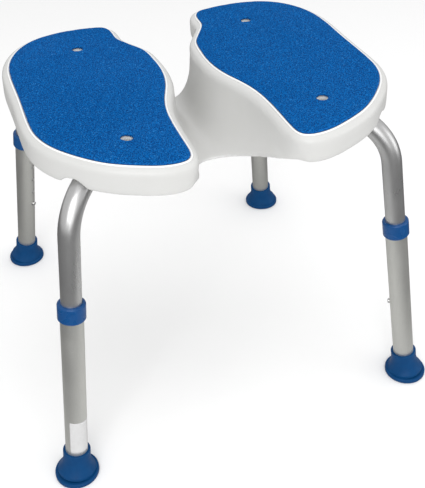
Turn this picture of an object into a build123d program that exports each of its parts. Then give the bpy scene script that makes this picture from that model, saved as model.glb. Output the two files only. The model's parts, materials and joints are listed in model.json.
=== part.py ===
"""Shower chair with a two-lobed seat, open at the front and back, on four height-adjustable legs.

Millimetres, +Z up, +Y to the back, origin on the floor under the middle of the four feet.
Each leg is a bent upper tube clamped under the seat, and a lower tube that slides on it and
is held by a sprung button in one of a row of holes.
"""

import os
from math import atan2, cos, radians, sin

from build123d import *

os.makedirs("parts", exist_ok=True)

# ---------------------------------------------------------------- driving dimensions
# seat
SEAT_TOP = 432.0  # height of the moulded top at the chair's middle, under the foam
SLOPE_X = 0.042  # each lobe rises this much per mm outwards
SLOPE_Y = 0.018  # and this much per mm to the back
LOBE_THICKNESS = 34.0
BORDER = 10.0  # white border outside the foam
TOP_ROUND = 7.0
BOTTOM_ROUND = 6.0
PAD_THICKNESS = 4.0
PAD_GAP = 0.05
PAD_ROUND = 1.2
HOLE_SPOTS = ((119.0, 70.0), (120.0, -165.0))  # drain holes of one lobe
PAD_HOLE_R = 7.0
SEAT_HOLE_R = 6.0

# trough that joins the two lobes
TROUGH_TOP = 425.0  # height where the curved cross-section starts
TROUGH_DEPTH = 73.0
TROUGH_WALL = 12.0
TROUGH_BACK_Y, TROUGH_BACK_LEAN = 43.0, 19.0  # back edge at the lobes' height, and its lean
TROUGH_FRONT_Y, TROUGH_FRONT_RISE = -93.0, 24.0  # front edge at the bottom, and its rise
# half width of the trough's mouth along the seat
MOUTH = ((-226, 60), (-215, 54.3), (-203, 51.6), (-185, 51), (-150, 50.3), (-115, 47), (-85, 39), (-58, 29),
         (-25, 22), (5, 21), (32, 23), (60, 33))

# legs
FLOOR_TO_ARM = 405.0  # height of the horizontal arms' centre line
BEND_R = 70.0
ARM_LENGTH = 140.0  # from the corner of the bend's centre lines to the arm's end
UPPER_R, UPPER_WALL = 12.7, 1.3
LOWER_R, LOWER_WALL = 14.3, 1.3
UPPER_END = 109.0  # distances along the leg, from the floor
LOWER_START, LOWER_END = 11.0, 262.0
BUTTON_AT = 129.0
HOLE_PITCH = 25.4
HOLE_COUNT = 5
LEG_HOLE_R, BUTTON_R = 4.0, 3.5
BUTTON_TIP, BUTTON_BASE = 17.3, 10.2  # the button's two ends, from the leg's centre line
COLLAR_START, COLLAR_LIP_TOP, COLLAR_R = 243.0, 265.5, 17.1
FOOT_R, FOOT_NECK_R, FOOT_TOP = 28.6, 17.7, 39.0
FOOT_FLANGE = 6.0
RUNNING = 0.1  # radial clearance of the collar on the upper tube
SNUG = 0.05  # gap round pieces that stay together

# name, foot centre, lean per mm of height, direction of the arm in plan
LEGS = {
    "front_left": (-246, -239, 0.120, 0.114, 38),
    "front_right": (246, -239, -0.120, 0.114, 142),
    "back_left": (-222, 239, 0.113, -0.144, -45),
    "back_right": (222, 239, -0.113, -0.144, -135),
}

# clamps under the seat
CLAMP_AT = 108.0  # from the corner of the bend
CLAMP_WIDTH, CLAMP_THICKNESS, CLAMP_HALF_SPAN = 22.0, 2.0, 24.0
CLAMP_CEILING = -2.0  # underside of the seat at the clamp, from the arm's centre line
SCREW_OFFSET, SCREW_R, SCREW_LENGTH = 19.0, 2.0, 14.0
SCREW_HEAD_R, SCREW_HEAD = 3.8, 2.4
CHANNEL_R, CHANNEL_START = 13.0, 300.0
# arched notch in the lobe's side where a leg leaves it, along the arm from the bend's corner
NOTCH_R, NOTCH_HEIGHT, NOTCH_START, NOTCH_END = 22.0, 10.0, -50.0, 28.0
PLUG_FLANGE = 2.0

# sprung buttons
LEAF, LEAF_WIDTH, LEAF_X, LEAF_BACK_X = 0.8, 9.0, 9.75, -5.3

# foam outline of the right lobe, counter-clockwise
PAD_POINTS = (
    (32.3, 5), (33, -25), (41, -61), (50, -85), (58, -115), (61.3, -150), (62, -200), (68, -225),
    (88, -230), (120, -222), (154, -205.5), (181, -182), (201, -157), (213, -128), (216, -92),
    (215, -40), (215, 10), (213, 42), (202, 77), (178, 108), (146, 125), (108, 131.5), (84, 131),
    (70, 127.5), (63.8, 118), (62.5, 103), (60.5, 86), (53, 71.5), (43.5, 56), (37, 43.5), (33.8, 28),
)


# ---------------------------------------------------------------- helpers
def grown(points, amount):
    """The closed outline moved outwards by an amount."""
    count, moved = len(points), []
    for i, (x, y) in enumerate(points):
        (ax, ay), (bx, by) = points[i - 1], points[(i + 1) % count]
        angle = atan2(by - ay, bx - ax)
        moved.append((x + amount * sin(angle), y - amount * cos(angle)))
    return moved


def lobe_plane(above=0.0):
    """Plane of the right lobe's top, moved up by an amount."""
    normal = Vector(-SLOPE_X, -SLOPE_Y, 1).normalized()
    return Plane(origin=Vector(0, 0, SEAT_TOP) + normal * above, x_dir=(1, 0, SLOPE_X), z_dir=normal)


def half_round(half, depth):
    """Lower half of an ellipse, centred at the trough's mouth."""
    return EllipticalCenterArc((0, TROUGH_TOP), half, depth, start_angle=180, arc_size=180)


def leaning(y, z, up, back):
    """Plane across the seat through (y, z), facing up and back by the two parts of its normal."""
    return Plane(origin=(0, y, z), x_dir=(1, 0, 0), z_dir=Vector(0, back, up))


class Leg:
    """Planes and directions of one leg."""

    def __init__(self, x, y, lean_x, lean_y, arm_angle):
        self.foot = Vector(x, y, 0)
        self.up = Vector(lean_x, lean_y, 1).normalized()
        self.arm = Vector(cos(radians(arm_angle)), sin(radians(arm_angle)), 0)
        self.inward = (self.arm - self.up * self.arm.dot(self.up)).normalized()
        self.corner = self.foot + self.up * (FLOOR_TO_ARM / self.up.Z)

    def across(self, distance):
        """Plane square to the leg, at a distance along it from the floor."""
        return Plane(origin=self.foot + self.up * distance, x_dir=self.inward, z_dir=self.up)

    def along(self, distance):
        """Plane that holds the leg and its arm: X inwards, Y up the leg."""
        origin = self.foot + self.up * distance
        return Plane(origin=origin, x_dir=self.inward, z_dir=self.inward.cross(self.up))

    def radial(self, distance, out):
        """Plane facing inwards, at a distance along the leg and out from its centre line."""
        origin = self.foot + self.up * distance + self.inward * out
        return Plane(origin=origin, x_dir=self.up, z_dir=self.inward)

    def under(self, distance, height=0.0):
        """Level plane under the seat, at a distance from the bend's corner, X along the arm."""
        origin = self.corner + self.arm * distance + Vector(0, 0, height)
        return Plane(origin=origin, x_dir=self.arm, z_dir=(0, 0, 1))

    def section(self, distance):
        """Plane square to the arm, X to the side and Y up."""
        return Plane(origin=self.corner + self.arm * distance, x_dir=Vector(0, 0, 1).cross(self.arm),
                     z_dir=self.arm)

    def corners(self, start, arm):
        """Start, bend corner and end of the upper tube's centre line."""
        return self.foot + self.up * start, self.corner, self.corner + self.arm * arm


legs = {name: Leg(*numbers) for name, numbers in LEGS.items()}


def finish(builder, name):
    """Labels a piece and writes it."""
    builder.part.label = name
    export_step(builder.part, f"parts/{name}.step")


# ---------------------------------------------------------------- seat shell
SEAT_FLOOR = SEAT_TOP - LOBE_THICKNESS
TROUGH_FLOOR = TROUGH_TOP - TROUGH_DEPTH - TROUGH_WALL
rise, lean = radians(TROUGH_FRONT_RISE), radians(TROUGH_BACK_LEAN)

with BuildPart() as mouth:
    for y, half in MOUTH:
        with BuildSketch(Plane.XZ.offset(-y)):
            with BuildLine():
                arc = half_round(half, TROUGH_DEPTH)
                Polyline(arc @ 1, (half, SEAT_TOP + 40), (-half, SEAT_TOP + 40), arc @ 0)
            make_face()
    loft()

with BuildPart() as trough:
    for y, half in MOUTH:
        with BuildSketch(Plane.XZ.offset(-y)):
            with BuildLine():
                arc = half_round(half + TROUGH_WALL, TROUGH_DEPTH + TROUGH_WALL)
                Line(arc @ 1, arc @ 0)
            make_face()
    loft()
    split(bisect_by=leaning(TROUGH_FRONT_Y, TROUGH_FLOOR, cos(rise), sin(rise)), keep=Keep.TOP)
    split(bisect_by=leaning(TROUGH_BACK_Y, SEAT_FLOOR, sin(lean), cos(lean)), keep=Keep.BOTTOM)
    add(mouth.part, mode=Mode.SUBTRACT)

with BuildPart() as leg_recesses:  # channels for the arms, and flats for their clamps
    for leg in legs.values():
        with BuildLine():
            FilletPolyline(*leg.corners(CHANNEL_START, ARM_LENGTH + PLUG_FLANGE + 1), radius=BEND_R)
        with BuildSketch(leg.across(CHANNEL_START)):
            Circle(CHANNEL_R)
        sweep()
        with BuildSketch(leg.under(ARM_LENGTH / 2 - 20)):
            Rectangle(ARM_LENGTH + 2 * PLUG_FLANGE + 42, 2 * CHANNEL_R)
        extrude(amount=-30)
        floor_here = SEAT_FLOOR + SLOPE_X * abs(leg.corner.X) + SLOPE_Y * leg.corner.Y
        with BuildSketch(leg.section(NOTCH_START)):
            with Locations((0, floor_here + NOTCH_HEIGHT - NOTCH_R - FLOOR_TO_ARM)):
                Circle(NOTCH_R)
        extrude(amount=NOTCH_END - NOTCH_START)
        with BuildSketch(leg.under(CLAMP_AT, CLAMP_CEILING)):
            Rectangle(CLAMP_WIDTH + 2, 2 * CLAMP_HALF_SPAN + 2)
        extrude(amount=-30)
        with BuildSketch(leg.under(CLAMP_AT, CLAMP_CEILING)):
            with Locations((0, SCREW_OFFSET), (0, -SCREW_OFFSET)):
                Circle(SCREW_R + SNUG)
        extrude(amount=SCREW_LENGTH)

with BuildPart() as seat_shell:
    with BuildSketch(lobe_plane()):
        with BuildLine():
            Spline(grown(PAD_POINTS, BORDER), periodic=True)
        make_face()
    extrude(amount=-LOBE_THICKNESS)
    fillet(seat_shell.faces().sort_by(Axis.Z)[-1].edges(), TOP_ROUND)
    fillet(seat_shell.faces().sort_by(Axis.Z)[0].edges(), BOTTOM_ROUND)
    mirror(about=Plane.YZ)
    add(trough.part)
    with BuildSketch(Plane.XY.offset(SEAT_FLOOR - 30)):
        with Locations([(side * x, y) for side in (1, -1) for x, y in HOLE_SPOTS]):
            Circle(SEAT_HOLE_R)
    extrude(amount=90, mode=Mode.SUBTRACT)
    add(leg_recesses.part, mode=Mode.SUBTRACT)
finish(seat_shell, "seat_shell")

# ---------------------------------------------------------------- foam pads
with BuildPart() as pad_right:
    with BuildSketch(lobe_plane(PAD_GAP)):
        with BuildLine():
            Spline(PAD_POINTS, periodic=True)
        make_face()
    extrude(amount=PAD_THICKNESS)
    fillet(pad_right.faces().sort_by(Axis.Z)[-1].edges(), PAD_ROUND)
    with BuildSketch(Plane.XY.offset(SEAT_FLOOR)):
        with Locations(HOLE_SPOTS):
            Circle(PAD_HOLE_R)
    extrude(amount=90, mode=Mode.SUBTRACT)
finish(pad_right, "pad_right")

with BuildPart() as pad_left:
    mirror(pad_right.part, about=Plane.YZ)
finish(pad_left, "pad_left")

# ---------------------------------------------------------------- legs
for name, leg in legs.items():
    leg_axis = Axis(leg.foot, leg.up)

    with BuildPart() as upper_tube:
        with BuildLine():
            FilletPolyline(*leg.corners(UPPER_END, ARM_LENGTH), radius=BEND_R)
        with BuildSketch(leg.across(UPPER_END)):
            Circle(UPPER_R)
            Circle(UPPER_R - UPPER_WALL, mode=Mode.SUBTRACT)
        sweep()
        with BuildSketch(leg.radial(BUTTON_AT, 0)):
            Circle(BUTTON_R + RUNNING)
        extrude(amount=2 * UPPER_R, mode=Mode.SUBTRACT)
    finish(upper_tube, f"upper_tube_{name}")

    with BuildPart() as arm_plug:
        with BuildSketch(leg.section(ARM_LENGTH + SNUG)):
            Circle(UPPER_R)
        extrude(amount=PLUG_FLANGE)
        with BuildSketch(leg.section(ARM_LENGTH + SNUG)):
            Circle(UPPER_R - UPPER_WALL - SNUG)
        extrude(amount=-10)
    finish(arm_plug, f"arm_plug_{name}")

    with BuildPart() as clamp:
        with BuildSketch(leg.section(CLAMP_AT)):
            Circle(UPPER_R + SNUG + CLAMP_THICKNESS)
            Circle(UPPER_R + SNUG, mode=Mode.SUBTRACT)
            with Locations((0, CLAMP_CEILING - SNUG)):
                Rectangle(60, 40, align=(Align.CENTER, Align.MIN), mode=Mode.SUBTRACT)
            ear = CLAMP_HALF_SPAN - UPPER_R - 0.5
            with Locations((CLAMP_HALF_SPAN - ear / 2, CLAMP_CEILING - SNUG),
                           (ear / 2 - CLAMP_HALF_SPAN, CLAMP_CEILING - SNUG)):
                Rectangle(ear, CLAMP_THICKNESS, align=(Align.CENTER, Align.MAX))
        extrude(amount=CLAMP_WIDTH / 2, both=True)
        with BuildSketch(leg.under(CLAMP_AT, CLAMP_CEILING - 3 * CLAMP_THICKNESS)):
            with Locations((0, SCREW_OFFSET), (0, -SCREW_OFFSET)):
                Circle(SCREW_R + 4 * SNUG)
        extrude(amount=3 * CLAMP_THICKNESS, mode=Mode.SUBTRACT)
    finish(clamp, f"leg_clamp_{name}")

    with BuildPart() as lower_tube:
        with BuildSketch(leg.across(LOWER_START)):
            Circle(LOWER_R)
            Circle(LOWER_R - LOWER_WALL, mode=Mode.SUBTRACT)
        extrude(amount=LOWER_END - LOWER_START)
        for i in range(HOLE_COUNT):
            with BuildSketch(leg.radial(BUTTON_AT + i * HOLE_PITCH, 0)):
                Circle(LEG_HOLE_R)
            extrude(amount=2 * LOWER_R, mode=Mode.SUBTRACT)
    finish(lower_tube, f"lower_tube_{name}")

    with BuildPart() as collar:
        with BuildSketch(leg.along(0)):
            with BuildLine():
                inner, ledge = LOWER_R + SNUG, LOWER_END + RUNNING
                Polyline((UPPER_R + RUNNING, COLLAR_LIP_TOP), (UPPER_R + RUNNING, ledge), (inner, ledge),
                         (inner, COLLAR_START), (COLLAR_R - 1, COLLAR_START), (COLLAR_R, COLLAR_START + 1.5),
                         (COLLAR_R, COLLAR_LIP_TOP - 2.5))
                RadiusArc((COLLAR_R, COLLAR_LIP_TOP - 2.5), (COLLAR_R - 2.5, COLLAR_LIP_TOP), -2.5)
                Line((COLLAR_R - 2.5, COLLAR_LIP_TOP), (UPPER_R + RUNNING, COLLAR_LIP_TOP))
            make_face()
        revolve(axis=leg_axis)
    finish(collar, f"collar_{name}")

    with BuildPart() as foot:
        with BuildSketch(Plane.XY.move(Location(leg.foot))):
            Circle(FOOT_R)
        extrude(amount=FOOT_FLANGE)
        fillet(foot.edges().group_by(Axis.Z)[-1], 2)
        fillet(foot.edges().group_by(Axis.Z)[0], 0.8)
        with BuildSketch(leg.along(0)):
            with BuildLine():
                Polyline((FOOT_NECK_R, FOOT_TOP - 9), (FOOT_NECK_R, FOOT_TOP), (0, FOOT_TOP), (0, 5), (25, 5),
                         (25, 9))
                ThreePointArc((25, 9), (20, 17.5), (FOOT_NECK_R, FOOT_TOP - 9))
            make_face()
        revolve(axis=leg_axis)
        with BuildSketch(leg.across(9.4)):
            Circle(LOWER_R + SNUG)
        extrude(amount=60, mode=Mode.SUBTRACT)
    finish(foot, f"foot_{name}")

    with BuildPart() as washer:
        with BuildSketch(leg.across(9.5)):
            Circle(LOWER_R - 0.4)
            Circle(4, mode=Mode.SUBTRACT)
        extrude(amount=1.4)
    finish(washer, f"foot_washer_{name}")

    with BuildPart() as button:
        with BuildSketch(leg.radial(BUTTON_AT, BUTTON_BASE)):
            Circle(BUTTON_R)
        extrude(amount=BUTTON_TIP - BUTTON_BASE)
        rims = button.edges().filter_by(GeomType.CIRCLE)
        fillet(rims.sort_by_distance(leg.foot + leg.up * BUTTON_AT)[-1], 1.2)
    finish(button, f"snap_button_{name}")

    with BuildPart() as spring:
        with BuildSketch(leg.along(BUTTON_AT)):
            with BuildLine():
                front = Line((LEAF_X, -9), (LEAF_X, 16))
                middle = (LEAF_X + LEAF_BACK_X) / 2
                bend = ThreePointArc(front @ 1, (middle, 16 + LEAF_X - middle), (LEAF_BACK_X, 16))
                Line(bend @ 1, (LEAF_BACK_X, -9))
            trace(line_width=LEAF)
        extrude(amount=LEAF_WIDTH / 2, both=True)
    finish(spring, f"button_spring_{name}")

with BuildPart() as clamp_screws:
    for leg in legs.values():
        under_ear = CLAMP_CEILING - CLAMP_THICKNESS - 2 * SNUG
        for radius, length in ((SCREW_HEAD_R, -SCREW_HEAD), (SCREW_R, SCREW_LENGTH)):
            with BuildSketch(leg.under(CLAMP_AT, under_ear)):
                with Locations((0, SCREW_OFFSET), (0, -SCREW_OFFSET)):
                    Circle(radius)
            extrude(amount=length)
finish(clamp_screws, "clamp_screws")
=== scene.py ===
"""Looks of a shower chair: a white moulded seat with two foam pads on four adjustable aluminium legs.

Metres, +Z up, +Y to the back, origin on the floor under the middle of the feet.
"""

import json

import bmesh
import bpy
import numpy as np
from mathutils import Matrix, Vector

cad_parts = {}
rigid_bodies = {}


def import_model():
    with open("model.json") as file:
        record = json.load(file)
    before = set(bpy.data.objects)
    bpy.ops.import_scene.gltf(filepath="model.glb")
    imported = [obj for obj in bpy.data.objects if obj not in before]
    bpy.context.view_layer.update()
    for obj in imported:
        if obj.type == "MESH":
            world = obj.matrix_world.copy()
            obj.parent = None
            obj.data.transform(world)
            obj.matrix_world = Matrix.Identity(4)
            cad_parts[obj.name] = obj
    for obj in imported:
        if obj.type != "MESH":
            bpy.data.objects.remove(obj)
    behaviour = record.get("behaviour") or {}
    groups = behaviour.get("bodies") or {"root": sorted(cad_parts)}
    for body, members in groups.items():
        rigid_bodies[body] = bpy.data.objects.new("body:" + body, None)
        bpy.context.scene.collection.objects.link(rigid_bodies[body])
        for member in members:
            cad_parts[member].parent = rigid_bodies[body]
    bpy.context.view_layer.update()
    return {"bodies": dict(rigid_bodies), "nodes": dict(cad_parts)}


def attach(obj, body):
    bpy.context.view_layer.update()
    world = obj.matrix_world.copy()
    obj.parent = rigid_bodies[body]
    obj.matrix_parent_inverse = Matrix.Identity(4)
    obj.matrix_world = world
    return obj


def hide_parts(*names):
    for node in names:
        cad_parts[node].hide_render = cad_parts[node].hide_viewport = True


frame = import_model()
nodes = frame["nodes"]
LEG_NAMES = ("front_left", "front_right", "back_left", "back_right")

# ------------------------------------------------------------------ sizes
MM = 0.001
SEAT_TOP = 432 * MM
SEAT_NORMAL = np.array((-0.042, -0.018, 1.0)) / np.linalg.norm((-0.042, -0.018, 1.0))
PAD_OUTLINE = np.array((
    (32.3, 5), (33, -25), (41, -61), (50, -85), (58, -115), (61.3, -150), (62, -200), (68, -225),
    (88, -230), (120, -222), (154, -205.5), (181, -182), (201, -157), (213, -128), (216, -92),
    (215, -40), (215, 10), (213, 42), (202, 77), (178, 108), (146, 125), (108, 131.5), (84, 131),
    (70, 127.5), (63.8, 118), (62.5, 103), (60.5, 86), (53, 71.5), (43.5, 56), (37, 43.5), (33.8, 28))) * MM
PAD_HEIGHT = 4 * MM
SEAT_VOXEL, PAD_VOXEL = 2.4 * MM, 1.3 * MM  # the small faces that the seat and pads are remade from
TROUGH_RIM, TROUGH_DEPTH, TROUGH_HALF_WIDTH = 425 * MM, 73 * MM, 52 * MM
TURN_DOWN = 95 * MM  # how far from the middle the lobes start to run down into the trough
NOSE_TIP, NOSE_BACK = -215 * MM, -180 * MM  # the front end of the trough, along Y
LIP_OFFSET, LIP_RADIUS, LIP_RISE = 1.3 * MM, 1.25 * MM, 0.2 * MM  # bead round each pad
EDGE_SINK, EDGE_WIDTH = 0.9 * MM, 6 * MM  # how a pad's top drops towards its cut edge
LABEL_FOOT, LABEL_LEAN = (-246 * MM, -239 * MM, 0), (0.120, 0.114)  # foot and lean of its leg
LABEL_START, LABEL_LENGTH, LABEL_RADIUS, LABEL_FILM = 43 * MM, 50 * MM, 14.36 * MM, 0.12 * MM
LABEL_FACING, LABEL_SPAN = 2.55, 1.9  # radians round the tube: the label's middle and its width
LABEL_ROWS, LABEL_COLUMNS = 16, 24
FLOOR_DROP = 0.5 * MM


# ------------------------------------------------------------------ shader node helpers
def add(tree, kind, settings=None, **sockets):
    """A node with its settings, and its sockets linked or set by name (spaces written as _)."""
    made = tree.nodes.new(kind)
    for key, value in (settings or {}).items():
        setattr(made, key, value)
    for key, value in sockets.items():
        put(tree, made.inputs[key.replace("_", " ")], value)
    return made


def put(tree, socket, value):
    """Links an output to a socket, or sets a plain value on it."""
    if isinstance(value, bpy.types.NodeSocket):
        tree.links.new(value, socket)
    else:
        socket.default_value = value


def maths(tree, operation, first, second=0.0, clamp=False):
    made = add(tree, "ShaderNodeMath", {"operation": operation, "use_clamp": clamp})
    put(tree, made.inputs[0], first)
    put(tree, made.inputs[1], second)
    return made.outputs[0]


def ramp(tree, value, low, high, to_low=0.0, to_high=1.0):
    """Value carried from one range to another, held at both ends."""
    made = add(tree, "ShaderNodeMapRange", {"interpolation_type": "SMOOTHSTEP"}, Value=value)
    for name, number in (("From Min", low), ("From Max", high), ("To Min", to_low), ("To Max", to_high)):
        put(tree, made.inputs[name], number)
    return made.outputs["Result"]


def tint(tree, amount, plain, other):
    """Colour between two, by an amount from 0 to 1."""
    made = add(tree, "ShaderNodeMix", {"data_type": "RGBA"})
    put(tree, made.inputs[0], amount)
    put(tree, made.inputs[6], plain)
    put(tree, made.inputs[7], other)
    return made.outputs[2]


def new_group(name, inputs, outputs):
    """Empty node group with float sockets, and its two ends."""
    tree = bpy.data.node_groups.new(name, "ShaderNodeTree")
    for label, value in inputs.items():
        tree.interface.new_socket(label, in_out="INPUT", socket_type="NodeSocketFloat").default_value = value
    for label in outputs:
        tree.interface.new_socket(label, in_out="OUTPUT", socket_type="NodeSocketFloat")
    return tree, tree.nodes.new("NodeGroupInput").outputs, tree.nodes.new("NodeGroupOutput").inputs


def use(tree, group, **sockets):
    """Places a node group in a material with its own values, and returns its outputs."""
    made = add(tree, "ShaderNodeGroup", {"node_tree": group})
    for key, value in sockets.items():
        put(tree, made.inputs[key.replace("_", " ")], value)
    return made.outputs


# ------------------------------------------------------------------ shared effects
def edge_wear_and_highlight_group():
    """Mask of turned corners, where the surface turns within a short width: handling wear on most parts, and
    a painted highlight along the foam pads' cut edges.
    """
    tree, given, out = new_group("edge_wear_and_highlight", {"Width": 0.001, "Patchiness": 0.5}, ["Mask"])
    rounded = add(tree, "ShaderNodeBevel", {"samples": 4}, Radius=given["Width"])
    flat = add(tree, "ShaderNodeNewGeometry")
    turn = add(tree, "ShaderNodeVectorMath", {"operation": "DOT_PRODUCT"})
    put(tree, turn.inputs[0], rounded.outputs[0])
    put(tree, turn.inputs[1], flat.outputs["Normal"])
    corner = ramp(tree, turn.outputs["Value"], 0.995, 0.88)
    place = add(tree, "ShaderNodeTexCoord")
    worn = add(tree, "ShaderNodeTexNoise", Vector=place.outputs["Object"], Scale=160.0, Detail=3.0)
    patches = ramp(tree, worn.outputs[0], 0.35, 0.62)
    kept = maths(tree, "SUBTRACT", 1.0, maths(tree, "MULTIPLY", given["Patchiness"],
                                              maths(tree, "SUBTRACT", 1.0, patches)))
    put(tree, out["Mask"], maths(tree, "MULTIPLY", corner, kept, clamp=True))
    return tree


def skin_group():
    """Skin of moulded plastic: a fine orange peel over slow waves."""
    tree, given, out = new_group("moulded_skin", {"Peel Scale": 900.0, "Wave Scale": 40.0, "Wave Share": 0.5},
                                 ["Height", "Tone"])
    place = add(tree, "ShaderNodeTexCoord").outputs["Object"]
    peel = add(tree, "ShaderNodeTexNoise", Vector=place, Scale=given["Peel Scale"], Detail=2.0)
    wave = add(tree, "ShaderNodeTexNoise", Vector=place, Scale=given["Wave Scale"], Detail=2.0)
    fine = maths(tree, "MULTIPLY", peel.outputs[0], maths(tree, "SUBTRACT", 1.0, given["Wave Share"]))
    put(tree, out["Height"], maths(tree, "ADD", fine, maths(tree, "MULTIPLY", wave.outputs[0],
                                                           given["Wave Share"])))
    put(tree, out["Tone"], wave.outputs[0])
    return tree


def smudge_group():
    """Slow blotches left by water and hands, for gloss and tone."""
    tree, given, out = new_group("smudges", {"Scale": 18.0, "Low": 0.3, "High": 0.5}, ["Value", "Mask"])
    place = add(tree, "ShaderNodeTexCoord").outputs["Object"]
    cloud = add(tree, "ShaderNodeTexNoise", Vector=place, Scale=given["Scale"], Detail=4.0, Distortion=0.6)
    mask = ramp(tree, cloud.outputs[0], 0.3, 0.7)
    spread = maths(tree, "SUBTRACT", given["High"], given["Low"])
    put(tree, out["Value"], maths(tree, "ADD", given["Low"], maths(tree, "MULTIPLY", mask, spread)))
    put(tree, out["Mask"], mask)
    return tree


def drawn_group():
    """Fine lines that drawing leaves along a tube, and a few scratches across them."""
    tree, given, out = new_group("drawn_lines", {"Line Scale": 1400.0, "Scratch Amount": 0.3},
                                 ["Lines", "Scratches"])
    place = add(tree, "ShaderNodeTexCoord").outputs["Object"]
    long = add(tree, "ShaderNodeVectorMath", {"operation": "MULTIPLY"})
    put(tree, long.inputs[0], place)
    put(tree, long.inputs[1], (1.0, 1.0, 0.02))
    lines = add(tree, "ShaderNodeTexNoise", Vector=long.outputs[0], Scale=given["Line Scale"], Detail=3.0)
    put(tree, out["Lines"], lines.outputs[0])
    skew = add(tree, "ShaderNodeVectorMath", {"operation": "MULTIPLY"})
    put(tree, skew.inputs[0], place)
    put(tree, skew.inputs[1], (90.0, 70.0, 900.0))
    nicks = add(tree, "ShaderNodeTexNoise", Vector=skew.outputs[0], Scale=1.0, Detail=1.0, Distortion=0.4)
    thin = ramp(tree, nicks.outputs[0], 0.69, 0.74)
    put(tree, out["Scratches"], maths(tree, "MULTIPLY", thin, given["Scratch Amount"]))
    return tree


def foam_group():
    """Closed-cell foam: small cells with pale walls, and a few bright specks."""
    tree, given, out = new_group("foam_cells", {"Cell Scale": 700.0, "Speck Scale": 420.0},
                                 ["Cells", "Specks", "Height"])
    place = add(tree, "ShaderNodeTexCoord").outputs["Object"]
    cells = add(tree, "ShaderNodeTexVoronoi", {"feature": "F1"}, Vector=place, Scale=given["Cell Scale"])
    cloud = add(tree, "ShaderNodeTexNoise", Vector=place, Scale=given["Cell Scale"], Detail=3.0)
    rim = ramp(tree, cells.outputs["Distance"], 0.15, 0.75)
    mixed = maths(tree, "ADD", maths(tree, "MULTIPLY", rim, 0.5),
                  maths(tree, "MULTIPLY", cloud.outputs[0], 0.5))
    put(tree, out["Cells"], ramp(tree, mixed, 0.25, 0.75))
    put(tree, out["Height"], mixed)
    grains = add(tree, "ShaderNodeTexNoise", Vector=place, Scale=given["Speck Scale"], Detail=2.0)
    put(tree, out["Specks"], ramp(tree, grains.outputs[0], 0.58, 0.7))
    return tree


EDGE_WEAR_AND_HIGHLIGHT, SKIN, SMUDGES, DRAWN, FOAM = (
    edge_wear_and_highlight_group(), skin_group(), smudge_group(), drawn_group(), foam_group())


# ------------------------------------------------------------------ materials
def new_material(name):
    """Material with its shader and the bump that feeds its normal."""
    made = bpy.data.materials.new(name)
    made.use_nodes = True
    tree = made.node_tree
    shader = tree.nodes["Principled BSDF"]
    bump = add(tree, "ShaderNodeBump")
    tree.links.new(bump.outputs[0], shader.inputs["Normal"])
    return made, tree, shader.inputs, bump.inputs


def paler_edges(tree, wear, share, body, bare):
    """Body colour with a share of a paler one at turned edges: wear from handling, and on the foam pads a
    painted highlight.
    """
    return tint(tree, maths(tree, "MULTIPLY", wear["Mask"], share), body, bare)


def roughen(tree, bump, height, strength, distance):
    """Small relief of the surface, from a height."""
    put(tree, bump["Height"], height)
    bump["Strength"].default_value = strength
    bump["Distance"].default_value = distance


def seat_plastic(name, tone):
    made, tree, look, bump = new_material(name)
    skin = use(tree, SKIN, Peel_Scale=700.0, Wave_Scale=26.0, Wave_Share=0.35)
    smudge = use(tree, SMUDGES, Scale=14.0, Low=0.36, High=0.5)
    wear = use(tree, EDGE_WEAR_AND_HIGHLIGHT, Width=0.004, Patchiness=0.2)
    body = tint(tree, skin["Tone"], (tone, tone, tone * 0.975, 1),
                (tone * 1.06, tone * 1.06, tone * 1.045, 1))
    put(tree, look["Base Color"], paler_edges(tree, wear, 0.7, body, (0.82, 0.825, 0.84, 1)))
    put(tree, look["Roughness"], smudge["Value"])
    look["IOR"].default_value = 1.49
    roughen(tree, bump, skin["Height"], 0.12, 0.0004)
    return made


def pad_foam():
    made, tree, look, bump = new_material("blue_pad_foam")
    foam = use(tree, FOAM, Cell_Scale=760.0, Speck_Scale=560.0)
    wear = use(tree, EDGE_WEAR_AND_HIGHLIGHT, Width=0.003, Patchiness=0.1)
    smudge = use(tree, SMUDGES, Scale=9.0, Low=0.72, High=0.86)
    body = tint(tree, foam["Cells"], (0.0, 0.024, 0.12, 1), (0.001, 0.108, 0.37, 1))
    worn = tint(tree, maths(tree, "MULTIPLY", smudge["Mask"], 0.15), body, (0.001, 0.05, 0.19, 1))
    lit = tint(tree, maths(tree, "MULTIPLY", foam["Specks"], 0.42), worn, (0.05, 0.3, 0.7, 1))
    # painted highlight: the pad's cut edges are turned paler blue, standing in for edges that catch the light
    put(tree, look["Base Color"], paler_edges(tree, wear, 0.7, lit, (0.016, 0.15, 0.48, 1)))
    put(tree, look["Roughness"], smudge["Value"])
    look["Specular IOR Level"].default_value = 0.04
    roughen(tree, bump, foam["Height"], 0.55, 0.0006)
    return made


def tube_metal(name, pale, dull, low, high, scratches):
    """Satin anodised aluminium tube."""
    made, tree, look, bump = new_material(name)
    drawn = use(tree, DRAWN, Line_Scale=1300.0, Scratch_Amount=scratches)
    smudge = use(tree, SMUDGES, Scale=22.0, Low=low, High=high)
    wear = use(tree, EDGE_WEAR_AND_HIGHLIGHT, Width=0.0008, Patchiness=0.3)
    body = tint(tree, drawn["Lines"], dull, pale)
    bared = maths(tree, "ADD", drawn["Scratches"], wear["Mask"], clamp=True)
    put(tree, look["Base Color"], tint(tree, bared, body, (0.86, 0.86, 0.86, 1)))
    look["Metallic"].default_value = 0.88
    rough = maths(tree, "ADD", smudge["Value"], maths(tree, "MULTIPLY", drawn["Lines"], 0.06))
    put(tree, look["Roughness"], rough)
    roughen(tree, bump, maths(tree, "SUBTRACT", drawn["Lines"], drawn["Scratches"]), 0.1, 0.0002)
    return made


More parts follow.
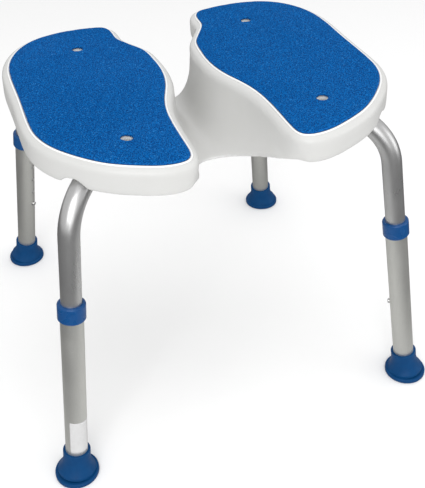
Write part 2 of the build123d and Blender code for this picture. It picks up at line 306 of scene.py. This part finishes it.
def gloss_plastic():
    made, tree, look, bump = new_material("blue_collar_plastic")
    skin = use(tree, SKIN, Peel_Scale=1100.0, Wave_Scale=120.0, Wave_Share=0.6)
    smudge = use(tree, SMUDGES, Scale=60.0, Low=0.2, High=0.34)
    wear = use(tree, EDGE_WEAR_AND_HIGHLIGHT, Width=0.001, Patchiness=0.4)
    body = tint(tree, skin["Tone"], (0.001, 0.048, 0.175, 1), (0.003, 0.068, 0.225, 1))
    put(tree, look["Base Color"], paler_edges(tree, wear, 0.5, body, (0.02, 0.13, 0.38, 1)))
    put(tree, look["Roughness"], smudge["Value"])
    look["Specular IOR Level"].default_value = 0.35
    roughen(tree, bump, skin["Height"], 0.1, 0.0003)
    return made


def foot_rubber():
    made, tree, look, bump = new_material("blue_foot_rubber")
    skin = use(tree, SKIN, Peel_Scale=1500.0, Wave_Scale=90.0, Wave_Share=0.3)
    smudge = use(tree, SMUDGES, Scale=45.0, Low=0.36, High=0.56)
    wear = use(tree, EDGE_WEAR_AND_HIGHLIGHT, Width=0.0012, Patchiness=0.6)
    body = tint(tree, skin["Tone"], (0.001, 0.040, 0.135, 1), (0.002, 0.056, 0.175, 1))
    put(tree, look["Base Color"], paler_edges(tree, wear, 0.5, body, (0.01, 0.10, 0.27, 1)))
    put(tree, look["Roughness"], smudge["Value"])
    look["Specular IOR Level"].default_value = 0.12
    roughen(tree, bump, skin["Height"], 0.25, 0.0003)
    return made


def plug_plastic():
    made, tree, look, bump = new_material("black_plug_plastic")
    skin = use(tree, SKIN, Peel_Scale=900.0, Wave_Scale=150.0, Wave_Share=0.4)
    wear = use(tree, EDGE_WEAR_AND_HIGHLIGHT, Width=0.0008, Patchiness=0.5)
    body = tint(tree, skin["Tone"], (0.012, 0.012, 0.013, 1), (0.022, 0.022, 0.023, 1))
    put(tree, look["Base Color"], paler_edges(tree, wear, 0.4, body, (0.09, 0.09, 0.09, 1)))
    put(tree, look["Roughness"], ramp(tree, skin["Tone"], 0.3, 0.7, 0.4, 0.55))
    roughen(tree, bump, skin["Height"], 0.3, 0.0003)
    return made


def pressed_steel(name, low, high, tone):
    made, tree, look, bump = new_material(name)
    skin = use(tree, SKIN, Peel_Scale=1800.0, Wave_Scale=200.0, Wave_Share=0.5)
    smudge = use(tree, SMUDGES, Scale=80.0, Low=low, High=high)
    wear = use(tree, EDGE_WEAR_AND_HIGHLIGHT, Width=0.0006, Patchiness=0.4)
    body = tint(tree, skin["Tone"], (tone * 0.88, tone * 0.88, tone * 0.87, 1), (tone, tone, tone, 1))
    put(tree, look["Base Color"], tint(tree, wear["Mask"], body, (0.9, 0.9, 0.9, 1)))
    look["Metallic"].default_value = 1.0
    put(tree, look["Roughness"], smudge["Value"])
    roughen(tree, bump, skin["Height"], 0.15, 0.0002)
    return made


# the lip beads take a paler copy of the seat plastic: a painted highlight along the bead round each pad
SEAT_WHITE, LIP_WHITE_PAINTED_HIGHLIGHT = seat_plastic("white_seat_plastic", 0.565), seat_plastic("lip_plastic_painted_highlight", 0.84)
FOAM_BLUE = pad_foam()
UPPER_METAL = tube_metal("satin_tube_upper", (0.60, 0.60, 0.60, 1), (0.52, 0.52, 0.52, 1), 0.24, 0.31, 0.08)
LOWER_METAL = tube_metal("satin_tube_lower", (0.70, 0.70, 0.67, 1), (0.61, 0.61, 0.585, 1), 0.36, 0.44, 0.15)
COLLAR_BLUE, FOOT_BLUE, PLUG_BLACK = gloss_plastic(), foot_rubber(), plug_plastic()
CLAMP_STEEL = pressed_steel("plated_clamp_steel", 0.28, 0.42, 0.62)
BUTTON_STEEL = pressed_steel("bright_button_steel", 0.1, 0.2, 0.75)


def dress(node, material):
    """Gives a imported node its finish."""
    for slot in nodes[node].material_slots:
        slot.link = "OBJECT"
        slot.material = material


for leg in LEG_NAMES:
    for stem, material in (("upper_tube", UPPER_METAL), ("lower_tube", LOWER_METAL), ("collar", COLLAR_BLUE),
                           ("foot", FOOT_BLUE), ("arm_plug", PLUG_BLACK), ("leg_clamp", CLAMP_STEEL),
                           ("foot_washer", CLAMP_STEEL), ("snap_button", BUTTON_STEEL),
                           ("button_spring", BUTTON_STEEL)):
        dress(f"{stem}_{leg}", material)
dress("clamp_screws", CLAMP_STEEL)


# ------------------------------------------------------------------ mesh helpers
def points_of(obj):
    found = np.empty(len(obj.data.vertices) * 3)
    obj.data.vertices.foreach_get("co", found)
    return found.reshape(-1, 3)


def place_points(obj, points):
    obj.data.vertices.foreach_set("co", points.ravel())
    obj.data.update()


def new_piece(name, body, material, mesh):
    """Piece from a mesh, smooth shaded, riding on a body."""
    made = bpy.data.objects.new(name, mesh)
    bpy.context.scene.collection.objects.link(made)
    mesh.materials.clear()
    mesh.materials.append(material)
    mesh.polygons.foreach_set("use_smooth", [True] * len(mesh.polygons))
    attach(made, body)
    return made


def recast(node, voxel):
    """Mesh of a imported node, remade as one even skin of small faces."""
    loose = bpy.data.objects.new("casting", nodes[node].data.copy())
    bpy.context.scene.collection.objects.link(loose)
    remesh = loose.modifiers.new("even", "REMESH")
    remesh.mode = "VOXEL"
    remesh.voxel_size = voxel
    seen = loose.evaluated_get(bpy.context.evaluated_depsgraph_get())
    mesh = bpy.data.meshes.new_from_object(seen)
    bpy.data.objects.remove(loose)
    return mesh


def soften(obj, passes, strength):
    """Relaxes each vertex towards its neighbours' middle, by its own strength."""
    edges = np.empty(len(obj.data.edges) * 2, dtype=int)
    obj.data.edges.foreach_get("vertices", edges)
    first, second = edges.reshape(-1, 2).T
    points = points_of(obj)
    count = np.bincount(edges, minlength=len(points))[:, None].clip(1)
    for _ in range(passes):
        total = np.stack([np.bincount(first, points[second, k], len(points))
                          + np.bincount(second, points[first, k], len(points)) for k in range(3)], 1)
        points = points + (total / count - points) * strength[:, None]
    place_points(obj, points)


def smooth_loop(corners, count):
    """Closed smooth curve through the corners, as evenly numbered points."""
    size = len(corners)
    gaps = np.linalg.norm(np.roll(corners, -1, 0) - corners, axis=1)
    before = np.roll(gaps, 1)
    system = np.zeros((size, size))
    for i in range(size):
        system[i, i - 1] += gaps[i]
        system[i, i] += 2 * (gaps[i] + before[i])
        system[i, (i + 1) % size] += before[i]
    ahead = (np.roll(corners, -1, 0) - corners) / gaps[:, None]
    behind = (corners - np.roll(corners, 1, 0)) / before[:, None]
    slopes = np.linalg.solve(system, 3 * (gaps[:, None] * behind + before[:, None] * ahead))
    knots = np.concatenate(([0], np.cumsum(gaps)))
    places = np.linspace(0, knots[-1], count, endpoint=False)
    span = np.clip(np.searchsorted(knots, places, "right") - 1, 0, size - 1)
    t = ((places - knots[span]) / gaps[span])[:, None]
    gap, start, end = gaps[span][:, None], corners[span], corners[(span + 1) % size]
    return ((2 * t**3 - 3 * t**2 + 1) * start + (t**3 - 2 * t**2 + t) * gap * slopes[span]
            + (3 * t**2 - 2 * t**3) * end + (t**3 - t**2) * gap * slopes[(span + 1) % size])


def distance_to_loop(points, loop):
    """Distance in plan from each point to the nearest of a loop's points."""
    nearest = np.full(len(points), np.inf)
    for start in range(0, len(points), 4000):
        gap = points[start:start + 4000, None, :2] - loop[None]
        nearest[start:start + 4000] = np.sqrt((gap**2).sum(2)).min(1)
    return nearest


def ring(loop, centres_up, section, side):
    """Closed bead: a small section carried round a loop on the right lobe's top, or its mirror."""
    turn = np.roll(loop, -1, 0) - np.roll(loop, 1, 0)
    turn /= np.linalg.norm(turn, axis=1)[:, None]
    outward = np.stack((turn[:, 1], -turn[:, 0], 0 * turn[:, 0]), 1)
    rise = (SEAT_TOP * SEAT_NORMAL[2] - loop @ SEAT_NORMAL[:2]) / SEAT_NORMAL[2]
    base = np.column_stack((loop, rise)) + SEAT_NORMAL * centres_up
    built = bmesh.new()
    rows = [[built.verts.new(((p + outward[i] * a + SEAT_NORMAL * b) * (side, 1, 1))) for a, b in section]
            for i, p in enumerate(base)]
    for i, row in enumerate(rows):
        other = rows[(i + 1) % len(rows)]
        for k in range(len(section)):
            n = (k + 1) % len(section)
            built.faces.new((row[k], other[k], other[n], row[n]))
    bmesh.ops.recalc_face_normals(built, faces=built.faces)
    mesh = bpy.data.meshes.new("bead")
    built.to_mesh(mesh)
    built.free()
    return mesh


# ------------------------------------------------------------------ seat
def fade(distance, width):
    """Weight that grows from 0 to 1 as a distance grows from 0 to a width."""
    return np.clip(distance / width, 0, 1)


def mould_seat():
    """One blown moulding: lobes with rounded sides that run down into the trough in long curves."""
    seat = new_piece("seat_moulding", "seat", SEAT_WHITE, recast("seat_shell", SEAT_VOXEL))
    points = points_of(seat)
    x, y, z = points.T
    inner = fade(TURN_DOWN - np.abs(x), 30 * MM)
    low = fade(TROUGH_RIM - 8 * MM - z, 20 * MM)
    behind_nose = fade(y - NOSE_TIP, 30 * MM)
    # the trough's front end stands upright instead of narrowing towards its floor
    narrowing = TROUGH_HALF_WIDTH * (1 - np.sqrt(1 - fade(TROUGH_RIM - z, TROUGH_DEPTH) ** 2))
    upright = fade(NOSE_BACK - y, 25 * MM) * fade(z - 388 * MM, 10 * MM)
    points[:, 0] += np.sign(x) * narrowing * upright * (np.abs(x) < 66 * MM)
    place_points(seat, points)
    soften(seat, 30, 0.05 + 0.55 * inner * low * behind_nose)
    nose = fade(NOSE_BACK - 5 * MM - y, 20 * MM) * fade(82 * MM - np.abs(x), 15 * MM)
    soften(seat, 14, 0.4 * nose * fade(SEAT_TOP - z, 8 * MM))
    return seat


seat = mould_seat()
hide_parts("seat_shell")

LOOP = smooth_loop(PAD_OUTLINE, 420)
angles = np.linspace(0, 2 * np.pi, 12, endpoint=False)
LIP_SECTION = np.column_stack((LIP_OFFSET + LIP_RADIUS * np.cos(angles), LIP_RADIUS * np.sin(angles)))
# beads round the pads, in the paler lip copy of the seat plastic (painted highlight)
for name, side in (("right", 1), ("left", -1)):
    new_piece(f"seat_lip_{name}", "seat", LIP_WHITE_PAINTED_HIGHLIGHT, ring(LOOP, LIP_RISE, LIP_SECTION, side))


# ------------------------------------------------------------------ pads
def cut_pad(name, side):
    """Foam sheet on its lobe, with its top lowered a little towards the cut edge."""
    pad = new_piece(f"foam_{name}", "seat", FOAM_BLUE, recast(f"pad_{name}", PAD_VOXEL))
    points = points_of(pad)
    soften(pad, 4, np.full(len(points), 0.5))
    points = points_of(pad)
    height = (points * (side, 1, 1)) @ SEAT_NORMAL - SEAT_TOP * SEAT_NORMAL[2]
    edge = distance_to_loop(points * (side, 1, 1), LOOP)
    sink = EDGE_SINK * np.exp(-edge / EDGE_WIDTH) * fade(height, PAD_HEIGHT)
    points -= sink[:, None] * SEAT_NORMAL * (side, 1, 1)
    place_points(pad, points)
    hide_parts(f"pad_{name}")
    return pad


for name, side in (("right", 1), ("left", -1)):
    cut_pad(name, side)


# ------------------------------------------------------------------ blank label on a lower tube
def label_paper():
    made, tree, look, bump = new_material("white_label_paper")
    skin = use(tree, SKIN, Peel_Scale=1600.0, Wave_Scale=160.0, Wave_Share=0.6)
    wear = use(tree, SMUDGES, Scale=70.0, Low=0.4, High=0.56)
    put(tree, look["Base Color"], tint(tree, skin["Tone"], (0.52, 0.52, 0.52, 1), (0.62, 0.62, 0.62, 1)))
    put(tree, look["Roughness"], wear["Value"])
    roughen(tree, bump, skin["Height"], 0.2, 0.0003)
    return made


def wrap_label(name, body):
    """Thin film wrapped part of the way round a leaning tube, with rounded corners."""
    up = Vector((*LABEL_LEAN, 1)).normalized()
    across = Vector((-up.y, up.x, 0)).normalized()
    around = up.cross(across)
    built = bmesh.new()
    rows = []
    for i in range(LABEL_ROWS + 1):
        t = i / LABEL_ROWS
        near_end = min(t, 1 - t) * LABEL_LENGTH
        inset = max(0.0, 1 - near_end / (3 * MM)) ** 2 * 0.06
        row = []
        for k in range(LABEL_COLUMNS + 1):
            angle = LABEL_FACING + (k / LABEL_COLUMNS - 0.5) * (LABEL_SPAN - inset)
            out = across * np.cos(angle) + around * np.sin(angle)
            height = LABEL_START + t * LABEL_LENGTH
            row.append(built.verts.new(Vector(LABEL_FOOT) + up * height + out * LABEL_RADIUS))
        rows.append(row)
    for low, high in zip(rows, rows[1:]):
        for k in range(LABEL_COLUMNS):
            built.faces.new((low[k], low[k + 1], high[k + 1], high[k]))
    mesh = bpy.data.meshes.new(name)
    built.to_mesh(mesh)
    built.free()
    made = new_piece(name, body, label_paper(), mesh)
    film = made.modifiers.new("film", "SOLIDIFY")
    film.thickness = LABEL_FILM
    film.offset = 1
    return made


wrap_label("blank_label", "leg_front_left")

# ------------------------------------------------------------------ floor, light and camera
floor_mesh = bpy.data.meshes.new("floor")
shaped = bmesh.new()
bmesh.ops.create_grid(shaped, x_segments=8, y_segments=8, size=6.0)
shaped.to_mesh(floor_mesh)
shaped.free()
floor = bpy.data.objects.new("floor", floor_mesh)
bpy.context.scene.collection.objects.link(floor)
floor.location.z = -FLOOR_DROP
floor_look, floor_tree, look, _ = new_material("pale_floor")
place = add(floor_tree, "ShaderNodeTexCoord").outputs["Object"]
reach = add(floor_tree, "ShaderNodeVectorMath", {"operation": "DISTANCE"})
put(floor_tree, reach.inputs[0], place)
put(floor_tree, reach.inputs[1], (0.0, -0.15, 0.0))
reflection_falloff = ramp(floor_tree, reach.outputs["Value"], 0.12, 0.62)
# painted reflection: glossy rays see the floor paler round the chair and dark further out, so the tubes
# mirror darker surroundings than the even pale floor the camera sees
painted_reflection_tone = tint(floor_tree, reflection_falloff, (0.62, 0.62, 0.61, 1), (0.09, 0.09, 0.09, 1))
ray = add(floor_tree, "ShaderNodeLightPath")
put(floor_tree, look["Base Color"], tint(floor_tree, ray.outputs["Is Glossy Ray"], (0.96, 0.96, 0.96, 1),
                                         painted_reflection_tone))
look["Roughness"].default_value = 0.9
look["Specular IOR Level"].default_value = 0.04
floor_mesh.materials.append(floor_look)
for leg in LEG_NAMES:  # a leg that is drawn out takes the floor down with it
    body = frame["bodies"][f"leg_{leg}"]
    under = floor.constraints.new("FLOOR")
    under.target = body
    under.floor_location = "FLOOR_NEGATIVE_Z"
    under.offset = floor.location.z - body.matrix_world.translation.z

world = bpy.data.worlds.new("studio")
world.use_nodes = True
world.node_tree.nodes["Background"].inputs["Color"].default_value = (1.0, 1.0, 1.0, 1)
world.node_tree.nodes["Background"].inputs["Strength"].default_value = 0.72
bpy.context.scene.world = world
bpy.context.scene.view_settings.view_transform = "Standard"


def softbox(name, place, aim, size, watts):
    """Square area light that faces a point."""
    light = bpy.data.lights.new(name, "AREA")
    light.size = size
    light.energy = watts
    made = bpy.data.objects.new(name, light)
    made.location = place
    made.rotation_euler = (Vector(aim) - Vector(place)).to_track_quat("-Z", "Y").to_euler()
    bpy.context.scene.collection.objects.link(made)


softbox("overhead", (0.3, -0.1, 2.4), (0, 0, 0.3), 2.0, 18)
softbox("left_front", (-1.15, -2.15, 1.75), (0, 0, 0.3), 1.6, 27)
softbox("front_fill", (-0.3, -2.6, 1.0), (0, 0, 0.35), 1.6, 9)
softbox("right_side", (2.6, -1.4, 0.9), (0, 0, 0.25), 1.6, 10)

lens = bpy.data.cameras.new("camera")
lens.lens = 62.1
lens.sensor_width = 36
lens.clip_start = 0.01
camera = bpy.data.objects.new("camera", lens)
camera.matrix_world = Matrix((
    (0.93558, 0.23189, -0.26631, -0.3059),
    (-0.35252, 0.56928, -0.74273, -0.9554),
    (-0.02062, 0.78876, 0.61435, 0.9131),
    (0, 0, 0, 1)))
bpy.context.scene.collection.objects.link(camera)
bpy.context.scene.camera = camera
